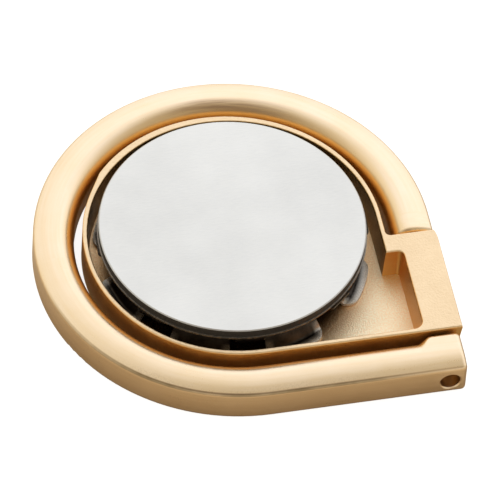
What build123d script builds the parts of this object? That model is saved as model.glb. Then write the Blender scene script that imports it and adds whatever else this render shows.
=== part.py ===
"""Drop-shaped phone ring holder, lying on its front face with the plate that is glued to a phone on top."""
import os
from math import cos, hypot, pi, radians, sin, tan

from build123d import *

# Finger ring, in millimetres like every size below
ring_outer_radius = 20.1
ring_width = 4.15
ring_height = 4.15
ring_shift_x = 0.17
ring_shift_y = 0.1
ring_crown_width = 2.25
ring_crease_height = 3.62
ring_crease_edge = 0.45
ring_top_land = 0.1
ring_lower_edge = 0.5
ring_end_edge = 0.5

# Frame that sits inside the ring
ring_gap = 0.65
wall_thickness = 0.65
rim_rise = 0.2
floor_thickness = 0.9
cast_draft = 4.5
rim_edge = 0.18
lower_edge = 0.3
cavity_shift_x = 0.15
cavity_shift_y = -0.1

# Fingernail relief on the outside of the frame's wall, an eccentric arc that runs out towards the front
relief_depth = 0.3
relief_start = 139.5
relief_ramp = 11.0
relief_blend = 1.5

# Hinge block in the square corner
block_overhang = 0.33
block_back_offset = 2.7
block_side_draft = 8.0
block_corner_width = 0.45
block_corner_length = 1.8
block_root_fillet = 0.5
block_land = 3.89
pocket_back_wall = 2.17
pocket_back_radius = 0.6
pocket_front_radius = 1.0

# Hinge
hinge_inset = 1.99
hinge_height = 1.74
hinge_gap = 0.3
pin_radius = 1.0
pin_recess = 1.4
pin_bore_depth = 3.2
pin_end_play = 0.2
pin_end_chamfer = 0.15
pin_seat_clearance = 0.01
pin_running_clearance = 0.04
pin_mouth_chamfer = 0.12
leg_end_inset = 0.3
boss_length = 2.94
boss_ramp = 1.5
boss_ramp_steps = 6
boss_shoulder = 0.6
washer_clearance = 0.03
washer_width = 0.4

# Swivel
plate_margin = 1.2
plate_thickness = 1.15
plate_lift = 0.23
plate_top_edge = 0.1
plate_burr = 0.12
plate_burr_height = 0.15
stud_shoulder_radius = 2.6
stud_neck_radius = 1.5
stud_head_radius = 2.3
stud_head_thickness = 0.45
stud_head_sink = 0.1
stud_dimple_radius = 0.8
stud_play = 0.05
stud_running_clearance = 0.04
pivot_boss_radius = 4.0
pivot_boss_height = 1.0
head_clearance = 0.2

# Petal spring
sheet_thickness = 0.3
petal_count = 8
petal_angle = 28.0
petal_phase = -26.0
petal_bend_radius = 0.6
petal_run = 4.4
petal_foot = 1.15
petal_tip_clearance = 0.23
petal_corner = 1.35
petal_floor_clearance = 0.03
lobe_proud = 0.25
lobe_angle = 13.0
lobe_corner = 0.4
hub_overlap = 0.4

# Sizes that follow from those above
ring_inner_radius = ring_outer_radius - ring_width
ring_inner_shoulder = ring_width - ring_crown_width - ring_top_land
leg_outside = ring_outer_radius - ring_shift_y
frame_radius = ring_inner_radius - ring_gap
frame_height = ring_height + rim_rise
cavity_radius = frame_radius - wall_thickness
cavity_depth = frame_height - floor_thickness
cavity_right = cavity_shift_x + cavity_radius
cavity_front = cavity_shift_y - cavity_radius
block_outer = ring_outer_radius + block_overhang
block_back = -block_back_offset
pocket_outer = block_outer - block_land
pocket_back = block_back - pocket_back_wall
hinge_x = ring_shift_x + ring_outer_radius - hinge_inset
boss_face = frame_radius + hinge_gap
far_leg_end = block_back + hinge_gap
pin_bore_in_ring = pin_radius + pin_seat_clearance
pin_bore_in_block = pin_radius + pin_running_clearance
washer_radius = pin_bore_in_block + washer_width
washer_thickness = hinge_gap - 2 * washer_clearance
plate_radius = cavity_radius - plate_margin
plate_bottom = frame_height + plate_lift
pivot_boss_top = floor_thickness + pivot_boss_height
counterbore_depth = stud_head_sink + stud_head_thickness + stud_play
petal_floor = floor_thickness + petal_floor_clearance
cavity_floor_reach = cavity_radius - hypot(cavity_shift_x, cavity_shift_y) - cavity_depth * tan(radians(cast_draft))
petal_tip_radius = cavity_floor_reach - petal_tip_clearance
hub_reach = petal_tip_radius - petal_run
lobe_radius = plate_radius + lobe_proud

os.makedirs("parts", exist_ok=True)


def polar(radius, angle):
    """Point in plan at a radius and an angle in degrees from the hinge side."""
    return (radius * cos(radians(angle)), radius * sin(radians(angle)))


def hinge_plane(y, direction):
    """Plane across the hinge axis at a place along it, facing the given way along Y."""
    return Plane(origin=(hinge_x, y, hinge_height), z_dir=(0, direction, 0))


def leg_plane(x):
    """Plane across the straight leg, with its local x pointing away from the ring's middle."""
    return Plane(origin=(x, ring_shift_y, 0), x_dir=(0, -1, 0), z_dir=(-1, 0, 0))


def ring_section(plane, inner_radius, inner_shoulder):
    """Section of the ring: an upright side, a crease, a domed crown and a round inner shoulder."""
    crown_start = (ring_outer_radius - ring_crown_width, ring_height)
    crease = (ring_outer_radius, ring_crease_height)
    with BuildSketch(plane) as section:
        with BuildLine():
            Polyline(crease, (ring_outer_radius, 0), (inner_radius, 0), (inner_radius, ring_height), crown_start)
            TangentArc(crown_start, crease, tangent=(1, 0))
        make_face()
        fillet(section.vertices().sort_by_distance((inner_radius, ring_height))[0], inner_shoulder)
        fillet(section.vertices().sort_by_distance(crease)[0], ring_crease_edge)
        fillet(section.vertices().group_by(Axis.Y)[0], ring_lower_edge)
    return section.sketch


# Ring: three quarters of a turn, a short far leg and a long straight near leg that swells into a boss
ring_axis = Axis((ring_shift_x, ring_shift_y, 0), (0, 0, 1))
turn_plane = Plane(origin=ring_axis.position, x_dir=(1, 0, 0), z_dir=(0, -1, 0))
boss_end = ring_shift_x + ring_outer_radius - leg_end_inset
boss_start = boss_end - boss_length
ramp_start = boss_start - boss_ramp
boss_inner_radius = boss_face + ring_shift_y
with BuildPart() as ring:
    turn_section = ring_section(turn_plane, ring_inner_radius, ring_inner_shoulder)
    revolve(turn_section, ring_axis, 270)
    extrude(turn_section, ring_shift_y - far_leg_end)
    leg_section = ring_section(leg_plane(ring_shift_x), ring_inner_radius, ring_inner_shoulder)
    extrude(leg_section, ring_shift_x - ramp_start)
    ramp_sections = []
    for step in range(boss_ramp_steps + 1):
        swell = (1 - cos(pi * step / boss_ramp_steps)) / 2
        ramp_plane = leg_plane(ramp_start + boss_ramp * step / boss_ramp_steps)
        ramp_sections.append(ring_section(ramp_plane,
                                          ring_inner_radius + swell * (boss_inner_radius - ring_inner_radius),
                                          ring_inner_shoulder + swell * (boss_shoulder - ring_inner_shoulder)))
    loft(ramp_sections, ruled=True)
    extrude(ramp_sections[-1], -boss_length)
    near_end = ring.faces().filter_by(Axis.X).sort_by_distance((boss_end, -leg_outside, hinge_height))[0]
    far_end = ring.faces().filter_by(Axis.Y).sort_by_distance((hinge_x, far_leg_end, hinge_height))[0]
    fillet(near_end.edges() + far_end.edges(), ring_end_edge)
    with Locations(hinge_plane(-leg_outside, -1)):
        CounterSinkHole(pin_bore_in_ring, pin_bore_in_ring + pin_mouth_chamfer, leg_outside - boss_face, 90)
    with Locations(hinge_plane(far_leg_end, -1)):
        Hole(pin_bore_in_ring, pin_bore_depth)
ring.part.label = "ring"
export_step(ring.part, "parts/ring.step")

# Frame: a cast cup with a round wall, a straight front wall and a hinge block in its corner
with BuildPart() as frame:
    with BuildSketch() as frame_outline:
        with BuildLine():
            CenterArc((0, 0), frame_radius, 0, relief_start)
            relief = CenterArc((relief_depth, 0), frame_radius, relief_start + relief_ramp,
                               270 - relief_start - relief_ramp)
            Line(polar(frame_radius, relief_start), relief @ 0)
            Polyline(relief @ 1, (block_outer, -frame_radius), (block_outer, block_back),
                     (frame_radius, block_back), (frame_radius, 0))
        make_face()
        for ramp_end in (polar(frame_radius, relief_start), relief @ 0):
            fillet(frame_outline.vertices().sort_by_distance(ramp_end)[0], relief_blend)
        fillet(frame_outline.vertices().sort_by_distance((frame_radius, block_back))[0], block_root_fillet)
    extrude(amount=frame_height)
    with BuildSketch(Plane.XZ.offset(frame_radius)):
        with BuildLine():
            Polyline((block_outer, frame_height), (block_outer, 0),
                     (block_outer - frame_height * tan(radians(block_side_draft)), 0), close=True)
        make_face()
    extrude(amount=block_back - frame_radius, mode=Mode.SUBTRACT)
    chamfer(frame.faces().sort_by(Axis.Z)[0].edges(), lower_edge)
    with BuildSketch(Plane.XY.offset(frame_height)) as cavity_outline:
        with BuildLine():
            CenterArc((cavity_shift_x, cavity_shift_y), cavity_radius, 0, 270)
            Polyline((cavity_shift_x, cavity_front), (pocket_outer, cavity_front), (pocket_outer, pocket_back),
                     (cavity_right, pocket_back), (cavity_right, cavity_shift_y))
        make_face()
        fillet(cavity_outline.vertices().sort_by_distance((pocket_outer, pocket_back))[0], pocket_back_radius)
        fillet(cavity_outline.vertices().sort_by_distance((pocket_outer, cavity_front))[0], pocket_front_radius)
    extrude(amount=-cavity_depth, taper=cast_draft, mode=Mode.SUBTRACT)
    fillet(frame.faces().sort_by(Axis.Z)[-1].edges(), rim_edge)
    with BuildSketch():
        with BuildLine():
            EllipticalCenterArc((block_outer - block_corner_width, block_back - block_corner_length),
                                block_corner_width, block_corner_length, arc_size=90)
            Polyline((block_outer - block_corner_width, block_back), (block_outer, block_back),
                     (block_outer, block_back - block_corner_length))
        make_face()
    extrude(amount=frame_height, mode=Mode.SUBTRACT)
    with BuildSketch(Plane.XY.offset(floor_thickness)):
        Circle(pivot_boss_radius)
    extrude(amount=pivot_boss_height)
    with Locations(Plane(origin=(0, 0, 0), z_dir=(0, 0, -1))):
        CounterBoreHole(stud_neck_radius + stud_running_clearance, stud_head_radius + head_clearance,
                        counterbore_depth, pivot_boss_top)
    with Locations(hinge_plane(block_back, 1)):
        Hole(pin_bore_in_block, frame_radius + block_back)
frame.part.label = "frame"
export_step(frame.part, "parts/frame.step")

# Hinge pin: pushed in from the near leg's outside and sunk below it
pin_start = -leg_outside + pin_recess
pin_stop = far_leg_end + pin_bore_depth - pin_end_play
with BuildPart() as hinge_pin:
    with BuildSketch(hinge_plane(pin_start, 1)):
        Circle(pin_radius)
    extrude(amount=pin_stop - pin_start)
    chamfer(hinge_pin.edges(), pin_end_chamfer)
hinge_pin.part.label = "hinge_pin"
export_step(hinge_pin.part, "parts/hinge_pin.step")

# Friction washers on the pin, one at each end of the block
washer_places = {"hinge_washer_near": -boss_face + washer_clearance,
                 "hinge_washer_far": block_back + washer_clearance}
for washer_name, washer_y in washer_places.items():
    with BuildPart() as hinge_washer:
        with BuildSketch(hinge_plane(washer_y, 1)):
            Circle(washer_radius)
            Circle(pin_bore_in_block, mode=Mode.SUBTRACT)
        extrude(amount=washer_thickness)
    hinge_washer.part.label = washer_name
    export_step(hinge_washer.part, f"parts/{washer_name}.step")

# Plate that is glued to the phone, with the burr that punching leaves round its lower edge
with BuildPart() as swivel_plate:
    with BuildSketch(Plane.XY.offset(plate_bottom)):
        Circle(plate_radius)
    extrude(amount=plate_thickness)
    chamfer(swivel_plate.edges().sort_by(Axis.Z)[-1], plate_top_edge)
    with BuildSketch(Plane.XY.offset(plate_bottom)):
        Circle(plate_radius + plate_burr)
    extrude(amount=plate_burr_height)
swivel_plate.part.label = "swivel_plate"
export_step(swivel_plate.part, "parts/swivel_plate.step")

# Stud under the plate: it turns in the frame's floor and is spread into a head in the counterbore
head_top = stud_head_sink + stud_head_thickness
shoulder_bottom = pivot_boss_top + stud_play
with BuildPart() as swivel_stud:
    with BuildSketch(Plane.XZ):
        with BuildLine():
            Polyline((0, plate_bottom), (stud_shoulder_radius, plate_bottom),
                     (stud_shoulder_radius, shoulder_bottom), (stud_neck_radius, shoulder_bottom),
                     (stud_neck_radius, head_top), (stud_head_radius, head_top),
                     (stud_neck_radius, stud_head_sink), (stud_dimple_radius, stud_head_sink),
                     (0, head_top), close=True)
        make_face()
    revolve(axis=Axis.Z)
swivel_stud.part.label = "swivel_stud"
export_step(swivel_stud.part, "parts/swivel_stud.step")

# One petal of the spring: a dished tongue with a round end, from under the plate down to a foot on the floor
sheet_middle = plate_bottom - sheet_thickness / 2
foot_middle = petal_floor + sheet_thickness / 2
with BuildPart() as petal:
    with BuildSketch(Plane.XZ):
        with BuildLine():
            FilletPolyline((hub_reach - hub_overlap, sheet_middle), (hub_reach, sheet_middle),
                           (petal_tip_radius - petal_foot, foot_middle), (petal_tip_radius, foot_middle),
                           radius=petal_bend_radius)
        trace(line_width=sheet_thickness)
    revolve(axis=Axis.Z, revolution_arc=petal_angle)
    with BuildSketch() as petal_outline:
        with BuildLine():
            tip = CenterArc((0, 0), petal_tip_radius, 0, petal_angle)
            Polyline(tip @ 1, (0, 0), tip @ 0)
        make_face()
        fillet(petal_outline.vertices().sort_by_distance((0, 0))[1:], petal_corner)
    extrude(amount=plate_bottom, mode=Mode.INTERSECT)

# Petal spring: a flat hub round the stud, flat lobes against the plate and petals between them
petal_pitch = 360 / petal_count
with BuildPart() as petal_spring:
    with BuildSketch(Plane.XY.offset(plate_bottom - sheet_thickness)):
        Circle(hub_reach)
        Circle(stud_shoulder_radius + stud_running_clearance, mode=Mode.SUBTRACT)
    extrude(amount=sheet_thickness)
    with BuildSketch(Plane.XY.offset(plate_bottom - sheet_thickness)) as lobes:
        lobe_width = 2 * lobe_radius * tan(radians(lobe_angle / 2))
        with PolarLocations((hub_reach - hub_overlap + lobe_radius) / 2, petal_count,
                            petal_phase + petal_pitch / 2):
            RectangleRounded(lobe_radius - hub_reach + hub_overlap, lobe_width, lobe_corner)
    extrude(amount=sheet_thickness)
    with PolarLocations(0, petal_count, petal_phase - petal_angle / 2):
        add(petal.part)
petal_spring.part.label = "petal_spring"
export_step(petal_spring.part, "parts/petal_spring.step")
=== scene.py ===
from math import cos, radians, sin

import bpy
from mathutils import Matrix, Vector

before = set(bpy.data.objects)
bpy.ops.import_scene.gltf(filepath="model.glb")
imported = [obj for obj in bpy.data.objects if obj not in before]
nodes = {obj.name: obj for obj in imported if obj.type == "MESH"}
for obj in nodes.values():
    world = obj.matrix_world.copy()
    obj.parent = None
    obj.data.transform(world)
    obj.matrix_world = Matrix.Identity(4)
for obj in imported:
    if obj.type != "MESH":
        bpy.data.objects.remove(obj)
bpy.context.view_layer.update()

mm = 0.001
noiseLow, noiseHigh = 0.3, 0.7  # nearly all of a noise lies between these
scene = bpy.context.scene
scene.view_settings.view_transform = "Standard"
print("frame loaded:", len(nodes), "nodes")


def inMm(*lengths):
    return tuple(length * mm for length in lengths)


# Node helpers that every finish uses
def newMaterial(name):
    material = bpy.data.materials.new(name)
    material.use_nodes = True
    tree = material.node_tree
    return material, tree, tree.nodes["Principled BSDF"]


# Links another node's output to a socket, or sets the socket to a number, a vector or a colour
def feed(tree, value, socket):
    if isinstance(value, bpy.types.NodeSocket):
        tree.links.new(value, socket)
    elif socket.type == "RGBA":
        socket.default_value = (*value, 1)
    else:
        socket.default_value = value


def addNode(tree, kind, **sockets):
    node = tree.nodes.new(kind)
    for name, value in sockets.items():
        feed(tree, value, node.inputs[name])
    return node


def operate(tree, kind, operation, first, second):
    node = tree.nodes.new(kind)
    node.operation = operation
    feed(tree, first, node.inputs[0])
    feed(tree, second, node.inputs[1])
    return node.outputs


def maths(tree, operation, first, second=0):
    return operate(tree, "ShaderNodeMath", operation, first, second)["Value"]


def vectorMaths(tree, operation, first, second):
    return operate(tree, "ShaderNodeVectorMath", operation, first, second)


# Takes low to toLow and high to toHigh, and holds what lies outside
def remap(tree, value, low, high, toLow=0, toHigh=1):
    node = tree.nodes.new("ShaderNodeMapRange")
    for socket, number in zip(node.inputs, (value, low, high, toLow, toHigh)):
        feed(tree, number, socket)
    return node.outputs["Result"]


def mixColour(tree, factor, first, second):
    node = tree.nodes.new("ShaderNodeMix")
    node.data_type = "RGBA"
    feed(tree, factor, node.inputs["Factor"])
    feed(tree, first, node.inputs[6])  # sockets 6 and 7 are the two colours, output 2 their mix
    feed(tree, second, node.inputs[7])
    return node.outputs[2]


def coordinate(tree, space):
    return tree.nodes.new("ShaderNodeTexCoord").outputs[space]


# Noise whose features are about as large as size, in metres
def noiseAt(tree, point, size, detail=3, roughness=0.55):
    noise = addNode(tree, "ShaderNodeTexNoise", Vector=point, Scale=1 / size, Detail=detail,
                    Roughness=roughness)
    return noise.outputs["Fac"]


# Joins two noises and spreads them from toLow to toHigh
def joinNoises(tree, first, second, toLow, toHigh):
    return remap(tree, maths(tree, "ADD", first, second), 2 * noiseLow, 2 * noiseHigh, toLow, toHigh)


def stretched(tree, point, angle, scale):
    mapping = addNode(tree, "ShaderNodeMapping", Vector=point, Rotation=(0, 0, radians(angle)), Scale=scale)
    return mapping.outputs["Vector"]


def bumpFrom(tree, height, distance):
    return addNode(tree, "ShaderNodeBump", Height=height, Distance=distance, Strength=1).outputs["Normal"]


# Parts of a vector: along the legs, across them and upward
def placeOf(tree, vector):
    return tuple(addNode(tree, "ShaderNodeSeparateXYZ", Vector=vector).outputs)


def distanceOf(tree, along, across):
    squares = maths(tree, "ADD", maths(tree, "POWER", along, 2), maths(tree, "POWER", across, 2))
    return maths(tree, "SQRT", squares)


def allOf(tree, *masks):
    product = masks[0]
    for mask in masks[1:]:
        product = maths(tree, "MULTIPLY", product, mask)
    return product


def inverse(tree, mask):
    return maths(tree, "SUBTRACT", 1, mask)


# Full from lowFull to highFull, and fades out at low and high
def band(tree, value, low, lowFull, highFull, high):
    return allOf(tree, remap(tree, value, low, lowFull), remap(tree, value, high, highFull))


# How level a face is in the object's own space: 1 on level faces, 0 on upright walls
def levelness(tree):
    _, _, upward = placeOf(tree, coordinate(tree, "Normal"))
    return maths(tree, "ABSOLUTE", upward)


# How far a face looks away from the object's middle, in metres of its own reach; below 0 it looks inward
def outwardness(tree, point):
    flatPoint = vectorMaths(tree, "MULTIPLY", point, (1, 1, 0))["Vector"]
    return vectorMaths(tree, "DOT_PRODUCT", flatPoint, coordinate(tree, "Normal"))["Value"]


def finishWith(tree, shader, colour, rough, normal, metal=1):
    feed(tree, colour, shader.inputs["Base Color"])
    feed(tree, rough, shader.inputs["Roughness"])
    feed(tree, normal, shader.inputs["Normal"])
    feed(tree, metal, shader.inputs["Metallic"])


# Gold plating with painted light: a painted sheen makes level faces pale, painted shade makes walls deeper,
# and walls that look inward get a painted shade colour of their own
def goldTones(tree, look, mottle, flatness, facing, innerShadeColour):
    tint = remap(tree, mottle, noiseLow, noiseHigh)
    inner = remap(tree, facing, *look["inner"])
    level = allOf(tree, remap(tree, flatness, *look["level"]), inverse(tree, inner))
    wall = mixColour(tree, inner, mixColour(tree, tint, look["shadedWallDark"], look["shadedWallLight"]), innerShadeColour)
    colour = mixColour(tree, level, wall, mixColour(tree, tint, look["dark"], look["light"]))
    return colour, level


# Ring: satin gold with polishing streaks, painted shade along the crease of the near side and a painted dark
# reflection at the back
ringLook = {
    "cloudSize": 5 * mm, "grainSize": 0.16 * mm, "grainDepth": 0.00025 * mm, "smooth": 0.26, "rough": 0.38,
    # dark and light carry a painted sheen on level faces; the wall colours are painted shade
    "dark": (0.93, 0.75, 0.53), "light": (0.98, 0.82, 0.64), "level": (0.45, 0.97),
    "shadedWallDark": (0.90, 0.67, 0.40), "shadedWallLight": (0.95, 0.73, 0.46),
    "inner": inMm(-5, -12), "innerShadeDeep": (0.66, 0.42, 0.17), "innerShadePale": (0.86, 0.64, 0.35),
    "shoulder": (0.25, 0.75),  # levelness where the inner wall turns into the crown
    "bendRadius": 18 * mm, "streakPull": 0.05, "streakSize": 0.35 * mm, "mottle": (0.2, 0.8),
    "creaseShadeColour": (0.34, 0.25, 0.14), "creaseShadeFacing": inMm(0, 5), "creaseShadeHeight": inMm(3.1, 3.2),
    "creaseShadeAlong": inMm(18, 11), "creaseShadeAcross": inMm(-2, -12),
    "creaseBand": (0.15, 0.4, 0.8, 0.92), "creasePatches": (0.35, 0.65, 0.45, 1),
    "crownShadeBand": (0.8, 0.9, 0.92, 0.97), "crownShadePatches": (0.4, 0.6), "crownShadeSpecks": (0.45, 0.65, 0, 0.35),
    "darkReflection": (0.50, 0.34, 0.24), "darkReflectionFacing": inMm(-14, -8, -4, -1), "darkReflectionAcross": inMm(13, 15),
    "darkReflectionAlong": inMm(-6, 0, 4, 11), "darkReflectionStreaks": (0.38, 0.6, 0.1, 0.9)}


# Polishing streaks that follow the bend and then run straight along the near leg
def ringStreaks(tree, point, look):
    along, across, height = placeOf(tree, point)
    pastBend = allOf(tree, maths(tree, "MAXIMUM", along, 0), maths(tree, "LESS_THAN", across, 0))
    bent = maths(tree, "SUBTRACT", along, pastBend)
    arc = maths(tree, "MULTIPLY", maths(tree, "ARCTAN2", across, bent), look["bendRadius"])
    travel = maths(tree, "MULTIPLY", maths(tree, "ADD", arc, pastBend), look["streakPull"])
    lane = addNode(tree, "ShaderNodeCombineXYZ", X=distanceOf(tree, bent, across), Y=height, Z=travel)
    return noiseAt(tree, lane.outputs["Vector"], look["streakSize"], roughness=0.6)


# Painted shade: a dark line along the crease, and patchy specks of painted shade on the crown just above it
def creaseShade(tree, point, look, cloud, grain, flatness, facing):
    along, across, height = placeOf(tree, point)
    creaseLine = allOf(tree, band(tree, flatness, *look["creaseBand"]), remap(tree, cloud, *look["creasePatches"]))
    crownShade = allOf(tree, band(tree, flatness, *look["crownShadeBand"]), remap(tree, cloud, *look["crownShadePatches"]),
                 remap(tree, grain, *look["crownShadeSpecks"]))
    return allOf(tree, maths(tree, "MAXIMUM", creaseLine, crownShade), remap(tree, facing, *look["creaseShadeFacing"]),
                 remap(tree, height, *look["creaseShadeHeight"]), remap(tree, along, *look["creaseShadeAlong"]),
                 remap(tree, across, *look["creaseShadeAcross"]))


# Painted dark reflection, in the streaks on the inner half of the crown
def backDarkReflection(tree, point, look, streaks, facing):
    along, across, _ = placeOf(tree, point)
    place = allOf(tree, remap(tree, across, *look["darkReflectionAcross"]), band(tree, along, *look["darkReflectionAlong"]))
    return allOf(tree, place, band(tree, facing, *look["darkReflectionFacing"]),
                 remap(tree, streaks, *look["darkReflectionStreaks"]))


def ringMaterial(look):
    material, tree, shader = newMaterial("gold_satin")
    point = coordinate(tree, "Object")
    cloud = noiseAt(tree, point, look["cloudSize"], detail=4)
    grain = noiseAt(tree, point, look["grainSize"], detail=2, roughness=0.6)
    streaks = ringStreaks(tree, point, look)
    flatness = levelness(tree)
    facing = outwardness(tree, point)
    mottle = joinNoises(tree, cloud, streaks, *look["mottle"])
    # Painted shade on the inner wall: deepest where it is upright, paler where it turns into the crown
    shoulder = remap(tree, flatness, *look["shoulder"])
    innerShadeColour = mixColour(tree, shoulder, look["innerShadeDeep"], look["innerShadePale"])
    colour, _ = goldTones(tree, look, mottle, flatness, facing, innerShadeColour)
    # painted shade along the crease of the near leg
    creaseShaded = creaseShade(tree, point, look, cloud, grain, flatness, facing)
    colour = mixColour(tree, creaseShaded, colour, look["creaseShadeColour"])
    # painted dark reflection on the inner crown at the back
    colour = mixColour(tree, backDarkReflection(tree, point, look, streaks, facing), colour, look["darkReflection"])
    rough = joinNoises(tree, mottle, grain, look["smooth"], look["rough"])
    finishWith(tree, shader, colour, rough, bumpFrom(tree, grain, look["grainDepth"]))
    return material


ringGold = ringMaterial(ringLook)
print("ring finish made")

# Cup with its hinge block: blasted gold, and a sandy floor with painted shade that darkens it under the disk
cupLook = {
    "cloudSize": 3 * mm, "grainSize": 0.22 * mm, "grainDepth": 0.045 * mm, "smooth": 0.34, "rough": 0.47,
    # dark and light carry a painted sheen on level faces; the wall colours are painted shade
    "dark": (0.86, 0.67, 0.45), "light": (0.95, 0.76, 0.53), "level": (0.25, 0.97),
    "shadedWallDark": (0.90, 0.54, 0.18), "shadedWallLight": (0.97, 0.63, 0.25),
    "inner": inMm(-3, -9), "innerShadeDeep": (0.44, 0.26, 0.09), "innerShadePale": (0.86, 0.43, 0.14),
    "roundWall": inMm(15, 16),  # the round wall ends here, and the corner's walls begin
    "sandHeight": inMm(1.3, 1.1), "sandSize": 0.18 * mm, "sandSpecks": (0.35, 0.65),
    "sandDark": (0.98, 0.74, 0.48), "sandLight": (1.0, 0.91, 0.70), "sandRough": -0.03, "sandBumps": 0.34,
    # the deep colours and the darkest colour after them are painted shade on the floor under the disk
    "deepReach": inMm(15.5, 12), "deepDark": (0.84, 0.43, 0.16), "deepLight": (0.98, 0.60, 0.28),
    "underDiskShadeReach": inMm(13.4, 12.2), "underDiskShade": (0.16, 0.09, 0.04)}


# Sandy floor: pale in the corner, with painted shade in deep gold at the disk's edge and a dark painted shade
# further in
def sandColour(tree, look, speck, reach):
    pale = mixColour(tree, speck, look["sandDark"], look["sandLight"])
    deep = mixColour(tree, speck, look["deepDark"], look["deepLight"])
    sand = mixColour(tree, remap(tree, reach, *look["deepReach"]), pale, deep)
    return mixColour(tree, remap(tree, reach, *look["underDiskShadeReach"]), sand, look["underDiskShade"])


def cupMaterial(look):
    material, tree, shader = newMaterial("gold_blasted")
    point = coordinate(tree, "Object")
    along, across, height = placeOf(tree, point)
    reach = distanceOf(tree, along, across)
    cloud = noiseAt(tree, point, look["cloudSize"], detail=4)
    grain = noiseAt(tree, point, look["grainSize"], detail=2, roughness=0.6)
    # Painted shade on walls that look inward: deep on the round wall, a paler orange on the corner's walls
    inCorner = remap(tree, reach, *look["roundWall"])
    innerShadeColour = mixColour(tree, inCorner, look["innerShadeDeep"], look["innerShadePale"])
    colour, level = goldTones(tree, look, cloud, levelness(tree), outwardness(tree, point), innerShadeColour)
    sandy = allOf(tree, remap(tree, height, *look["sandHeight"]), level)
    speck = remap(tree, noiseAt(tree, point, look["sandSize"], detail=2, roughness=0.7), *look["sandSpecks"])
    colour = mixColour(tree, sandy, colour, sandColour(tree, look, speck, reach))
    rough = joinNoises(tree, cloud, grain, look["smooth"], look["rough"])
    rough = maths(tree, "ADD", rough, maths(tree, "MULTIPLY", sandy, look["sandRough"]))
    castBumps = allOf(tree, grain, inverse(tree, sandy))
    bumps = maths(tree, "ADD", castBumps, allOf(tree, speck, sandy, look["sandBumps"]))
    finishWith(tree, shader, colour, rough, bumpFrom(tree, bumps, look["grainDepth"]))
    return material


cupGold = cupMaterial(cupLook)
print("cup finish made")

# Disk: pale rolled sheet with slanting streaks, a dark punched edge and a painted tan reflection of the gold
# in patches along the burr
plateLook = {
    "angle": 20, "stretch": (0.2, 1, 1), "streakSize": 0.16 * mm, "streakDepth": 0.003 * mm,
    "streakShare": 0.45, "cloudSize": 9 * mm, "tone": (0.35, 0.65), "level": (0.3, 0.8),
    "dark": (0.68, 0.69, 0.70), "light": (0.79, 0.80, 0.81), "smooth": 0.32, "rough": 0.42,
    "edgeDark": (0.085, 0.081, 0.077), "edgeLight": (0.13, 0.125, 0.12), "edgeGrain": 0.3 * mm,
    "edgeRough": 0.25, "burr": (0.46, 0.33, 0.20), "burrHeight": inMm(4.75, 4.72),
    "burrReflectionPatches": (0.35, 0.6, 0.2, 1)}


def plateMaterial(look):
    material, tree, shader = newMaterial("plate_steel")
    point = coordinate(tree, "Object")
    _, _, height = placeOf(tree, point)
    slanting = stretched(tree, point, look["angle"], look["stretch"])
    streaks = noiseAt(tree, slanting, look["streakSize"], detail=4, roughness=0.7)
    cloud = noiseAt(tree, point, look["cloudSize"])
    tone = maths(tree, "ADD", maths(tree, "MULTIPLY", streaks, look["streakShare"]),
                 maths(tree, "MULTIPLY", cloud, 1 - look["streakShare"]))
    face = mixColour(tree, remap(tree, tone, *look["tone"]), look["dark"], look["light"])
    edgeNoise = noiseAt(tree, point, look["edgeGrain"])
    wall = mixColour(tree, edgeNoise, look["edgeDark"], look["edgeLight"])
    burr = remap(tree, height, *look["burrHeight"])
    # painted reflection of the gold on the burr, in patches
    burrReflection = allOf(tree, burr, remap(tree, edgeNoise, *look["burrReflectionPatches"]))
    wall = mixColour(tree, burrReflection, wall, look["burr"])
    level = allOf(tree, remap(tree, levelness(tree), *look["level"]), inverse(tree, burr))
    rough = maths(tree, "ADD", remap(tree, streaks, noiseLow, noiseHigh, look["smooth"], look["rough"]),
                  remap(tree, level, 0, 1, look["edgeRough"], 0))
    colour = mixColour(tree, level, wall, face)
    finishWith(tree, shader, colour, rough, bumpFrom(tree, streaks, look["streakDepth"]))
    return material


plateSteel = plateMaterial(plateLook)
print("disk finish made")

# Spring: one dark oiled sheet, rubbed bright and given a near-white painted highlight along the rounded rims
# of its petals
springLook = {
    "petals": 8, "phase": -26, "angle": 28, "tip": 13.97 * mm, "corner": 1.35 * mm,
    "dark": (0.025, 0.021, 0.018), "light": (0.07, 0.06, 0.052), "smooth": 0.28, "rough": 0.45,
    "cloudSize": 1.2 * mm, "grainSize": 0.12 * mm, "grainDepth": 0.006 * mm,
    "rim": inMm(0.9, 0.05), "rimHeight": inMm(2.0, 1.2), "rimDrop": 0.12 * mm,
    "wornHighlight": (1.0, 0.97, 0.92), "wornHighlightPatches": (0.3, 0.6, 0.5, 1), "wornHighlightMetal": 0.2}


# How far a point lies inside the outline of its petal, in metres
def petalInset(tree, point, look):
    along, across, _ = placeOf(tree, point)
    reach = distanceOf(tree, along, across)
    pitch = radians(360 / look["petals"])
    turn = maths(tree, "SUBTRACT", maths(tree, "ARCTAN2", across, along), radians(look["phase"]) - pitch / 2)
    offMiddle = maths(tree, "SUBTRACT", maths(tree, "FLOORED_MODULO", turn, pitch), pitch / 2)
    offSide = maths(tree, "SUBTRACT", radians(look["angle"]) / 2, maths(tree, "ABSOLUTE", offMiddle))
    corner = look["corner"]
    fromTip = maths(tree, "MAXIMUM", maths(tree, "SUBTRACT", reach, look["tip"] - corner), 0)
    sideways = maths(tree, "MULTIPLY", offSide, reach)
    fromSide = maths(tree, "MAXIMUM", maths(tree, "SUBTRACT", corner, sideways), 0)
    return maths(tree, "SUBTRACT", corner, distanceOf(tree, fromTip, fromSide))


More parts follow.
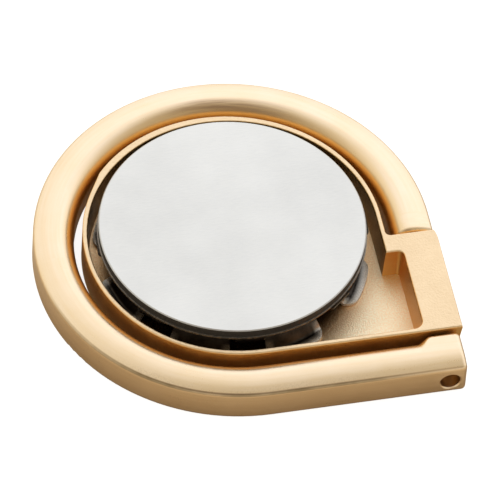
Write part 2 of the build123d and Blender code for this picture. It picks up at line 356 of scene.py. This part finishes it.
def springMaterial(look):
    material, tree, shader = newMaterial("spring_steel")
    point = coordinate(tree, "Object")
    _, _, height = placeOf(tree, point)
    cloud = noiseAt(tree, point, look["cloudSize"], detail=4)
    grain = noiseAt(tree, point, look["grainSize"])
    rim = allOf(tree, remap(tree, petalInset(tree, point, look), *look["rim"]),
                remap(tree, height, *look["rimHeight"]))
    # wear together with a painted highlight on the petals' rims
    wornHighlight = allOf(tree, rim, remap(tree, grain, *look["wornHighlightPatches"]))
    colour = mixColour(tree, remap(tree, cloud, noiseLow, noiseHigh), look["dark"], look["light"])
    colour = mixColour(tree, wornHighlight, colour, look["wornHighlight"])
    rough = remap(tree, grain, noiseLow, noiseHigh, look["smooth"], look["rough"])
    rounding = maths(tree, "MULTIPLY", maths(tree, "POWER", rim, 2), -look["rimDrop"])
    bumps = maths(tree, "ADD", rounding, maths(tree, "MULTIPLY", grain, look["grainDepth"]))
    metal = remap(tree, wornHighlight, 0, 1, 1, look["wornHighlightMetal"])
    finishWith(tree, shader, colour, rough, bumpFrom(tree, bumps, 1), metal)
    return material


springSteel = springMaterial(springLook)
print("spring finish made")

# Pin and stud: bare steel, mottled by oil and handling; the pin's brown colour is a painted reflection of the
# gold bore it sits in
pinLook = {
    "dark": (0.24, 0.13, 0.04), "light": (0.32, 0.19, 0.07), "cloudSize": 0.9 * mm, "grainSize": 0.1 * mm,
    "grainDepth": 0.001 * mm, "smooth": 0.35, "rough": 0.45}
studLook = {
    "dark": (0.40, 0.38, 0.35), "light": (0.58, 0.55, 0.51), "cloudSize": 1.5 * mm, "grainSize": 0.12 * mm,
    "grainDepth": 0.004 * mm, "smooth": 0.25, "rough": 0.4}


def steelMaterial(name, look):
    material, tree, shader = newMaterial(name)
    point = coordinate(tree, "Object")
    cloud = noiseAt(tree, point, look["cloudSize"], detail=4)
    grain = noiseAt(tree, point, look["grainSize"])
    colour = mixColour(tree, remap(tree, cloud, noiseLow, noiseHigh), look["dark"], look["light"])
    rough = remap(tree, grain, noiseLow, noiseHigh, look["smooth"], look["rough"])
    finishWith(tree, shader, colour, rough, bumpFrom(tree, grain, look["grainDepth"]))
    return material


pinSteel = steelMaterial("pin_steel", pinLook)
studSteel = steelMaterial("stud_steel", studLook)
print("pin and stud finishes made")

# Friction washers: plastic, coloured brown-black as painted shade of the gap beside the hinge block
washerLook = {
    "dark": (0.018, 0.011, 0.006), "light": (0.045, 0.028, 0.016), "grainSize": 0.2 * mm,
    "smooth": 0.5, "rough": 0.7}


def washerMaterial(look):
    material, tree, shader = newMaterial("washer_plastic")
    grain = noiseAt(tree, coordinate(tree, "Object"), look["grainSize"])
    feed(tree, mixColour(tree, grain, look["dark"], look["light"]), shader.inputs["Base Color"])
    rough = remap(tree, grain, noiseLow, noiseHigh, look["smooth"], look["rough"])
    feed(tree, rough, shader.inputs["Roughness"])
    return material


washerPlastic = washerMaterial(washerLook)
print("washer finish made")

coats = {
    "ring": ringGold, "frame": cupGold, "swivel_plate": plateSteel, "petal_spring": springSteel,
    "hinge_pin": pinSteel, "swivel_stud": studSteel,
    "hinge_washer_near": washerPlastic, "hinge_washer_far": washerPlastic}
for nodeName, material in coats.items():
    for slot in nodes[nodeName].material_slots:
        slot.material = material
print("finishes set on", len(coats), "nodes")


# The background shows white to the camera, and by glossShare in metal or glass; all else sees the lighting
def splitByRay(tree, glossShare, lighting, background, outputName):
    path = tree.nodes.new("ShaderNodeLightPath").outputs
    mirrored = maths(tree, "MAXIMUM", path["Is Glossy Ray"], path["Is Transmission Ray"])
    share = maths(tree, "MAXIMUM", path["Is Camera Ray"], maths(tree, "MULTIPLY", mirrored, glossShare))
    choose = tree.nodes.new("ShaderNodeMixShader")
    for socket, source in zip(choose.inputs, (share, lighting.outputs[0], background.outputs[0])):
        tree.links.new(source, socket)
    tree.links.new(choose.outputs[0], tree.nodes[outputName].inputs["Surface"])


# Floor: white with a faint shadow; metal sees it with a painted pool of light behind the object, and a warm
# grey in front with a painted shadow close to the object
floorLook = {
    "half": 4.0, "drop": 0.02 * mm, "glow": 0.88, "shown": (0.5, 0.5, 0.5), "glossShare": 0.06,
    "close": (0.37, 0.30, 0.22), "front": (0.74, 0.64, 0.51), "contactShadowReach": inMm(20.2, 23.5),
    "back": (0.92, 0.88, 0.80), "backAcross": inMm(-8, 30)}


def makeFloor(look):
    half = look["half"]
    mesh = bpy.data.meshes.new("floor")
    corners = [(-half, -half, 0), (half, -half, 0), (half, half, 0), (-half, half, 0)]
    mesh.from_pydata(corners, [], [(0, 1, 2, 3)])
    floor = bpy.data.objects.new("floor", mesh)
    floor.location.z = -look["drop"]
    scene.collection.objects.link(floor)
    material, tree, shader = newMaterial("floor_white")
    tree.nodes.remove(shader)
    along, across, _ = placeOf(tree, coordinate(tree, "Object"))
    reach = distanceOf(tree, maths(tree, "MINIMUM", along, 0), across)  # round the bend, then past the legs
    # painted shadow on the floor close to the object, and painted light behind it
    frontWithShadow = mixColour(tree, remap(tree, reach, *look["contactShadowReach"]), look["close"], look["front"])
    tone = mixColour(tree, remap(tree, across, *look["backAcross"]), frontWithShadow, look["back"])
    lighting = addNode(tree, "ShaderNodeBsdfDiffuse", Color=tone)
    glow = addNode(tree, "ShaderNodeEmission", Strength=look["glow"])
    shown = addNode(tree, "ShaderNodeBsdfDiffuse", Color=look["shown"])
    background = tree.nodes.new("ShaderNodeAddShader")
    tree.links.new(glow.outputs[0], background.inputs[0])
    tree.links.new(shown.outputs[0], background.inputs[1])
    splitByRay(tree, look["glossShare"], lighting, background, "Material Output")
    mesh.materials.append(material)


makeFloor(floorLook)
print("floor made")

# Studio tent: dim in front and bright behind the object, with the dark opening that the camera looks through
skyLook = {
    "front": ((0.0, (0.72, 0.68, 0.62)), (0.45, (0.70, 0.65, 0.56)), (0.85, (0.46, 0.38, 0.24)),
              (1.0, (0.38, 0.31, 0.17))),
    "back": ((0.0, (1.04, 1.03, 1.00)), (0.5, (1.24, 1.24, 1.24)), (0.78, (1.24, 1.24, 1.24)),
             (1.0, (0.80, 0.73, 0.58))),
    "backTurn": (-0.25, 0.35), "left": (1.00, 0.95, 0.82), "leftTurn": (0.1, -0.35), "glossShare": 0.08,
    "opening": (-0.163, -0.608, 0.777), "openingAngles": (29, 9), "openingColour": (0.20, 0.13, 0.08)}


# Colours of one side of the tent from the floor's level up to overhead
def heightRamp(tree, upward, stops):
    ramp = addNode(tree, "ShaderNodeValToRGB", Fac=upward)
    elements = ramp.color_ramp.elements
    while len(elements) < len(stops):
        elements.new(0.5)  # between the two that are there
    for element, (height, colour) in zip(elements, stops):
        element.position = height
        element.color = (*colour, 1)
    return ramp.outputs["Color"]


def makeSky(look):
    world = bpy.data.worlds.new("studio")
    scene.world = world
    world.use_nodes = True
    tree = world.node_tree
    direction = coordinate(tree, "Generated")
    rightward, backward, upward = placeOf(tree, direction)
    front = heightRamp(tree, upward, look["front"])
    back = heightRamp(tree, upward, look["back"])
    back = mixColour(tree, remap(tree, rightward, *look["leftTurn"]), back, look["left"])
    tent = mixColour(tree, remap(tree, backward, *look["backTurn"]), front, back)
    toward = vectorMaths(tree, "DOT_PRODUCT", direction, look["opening"])["Value"]
    opening = remap(tree, toward, *(cos(radians(angle)) for angle in look["openingAngles"]))
    lighting = tree.nodes["Background"]
    feed(tree, mixColour(tree, opening, tent, look["openingColour"]), lighting.inputs["Color"])
    white = addNode(tree, "ShaderNodeBackground", Color=(1, 1, 1), Strength=1)
    splitByRay(tree, look["glossShare"], lighting, white, "World Output")


makeSky(skyLook)
print("sky made")

# Camera at the photograph's place, from a fit of its outlines
cameraLook = {
    "azimuth": -15.0, "elevation": 51.5, "roll": 4.38, "distance": 0.8, "aside": 2.025 * mm,
    "above": 1.06 * mm, "lens": 571.5, "sensor": 36, "nearest": 0.01, "farthest": 20}


def makeCamera(look):
    azimuth, elevation, roll = (radians(look[key]) for key in ("azimuth", "elevation", "roll"))
    back = Vector((sin(azimuth) * cos(elevation), -cos(azimuth) * cos(elevation), sin(elevation)))
    level = Vector((cos(azimuth), sin(azimuth), 0))
    upright = back.cross(level)
    right = cos(roll) * level + sin(roll) * upright
    up = cos(roll) * upright - sin(roll) * level
    settings = bpy.data.cameras.new("camera")
    settings.lens = look["lens"]
    settings.sensor_width = look["sensor"]
    settings.clip_start = look["nearest"]
    settings.clip_end = look["farthest"]
    camera = bpy.data.objects.new("camera", settings)
    camera.matrix_world = Matrix((right, up, back)).transposed().to_4x4()
    camera.location = right * look["aside"] + up * look["above"] + back * look["distance"]
    scene.collection.objects.link(camera)
    scene.camera = camera


makeCamera(cameraLook)
print("camera made")
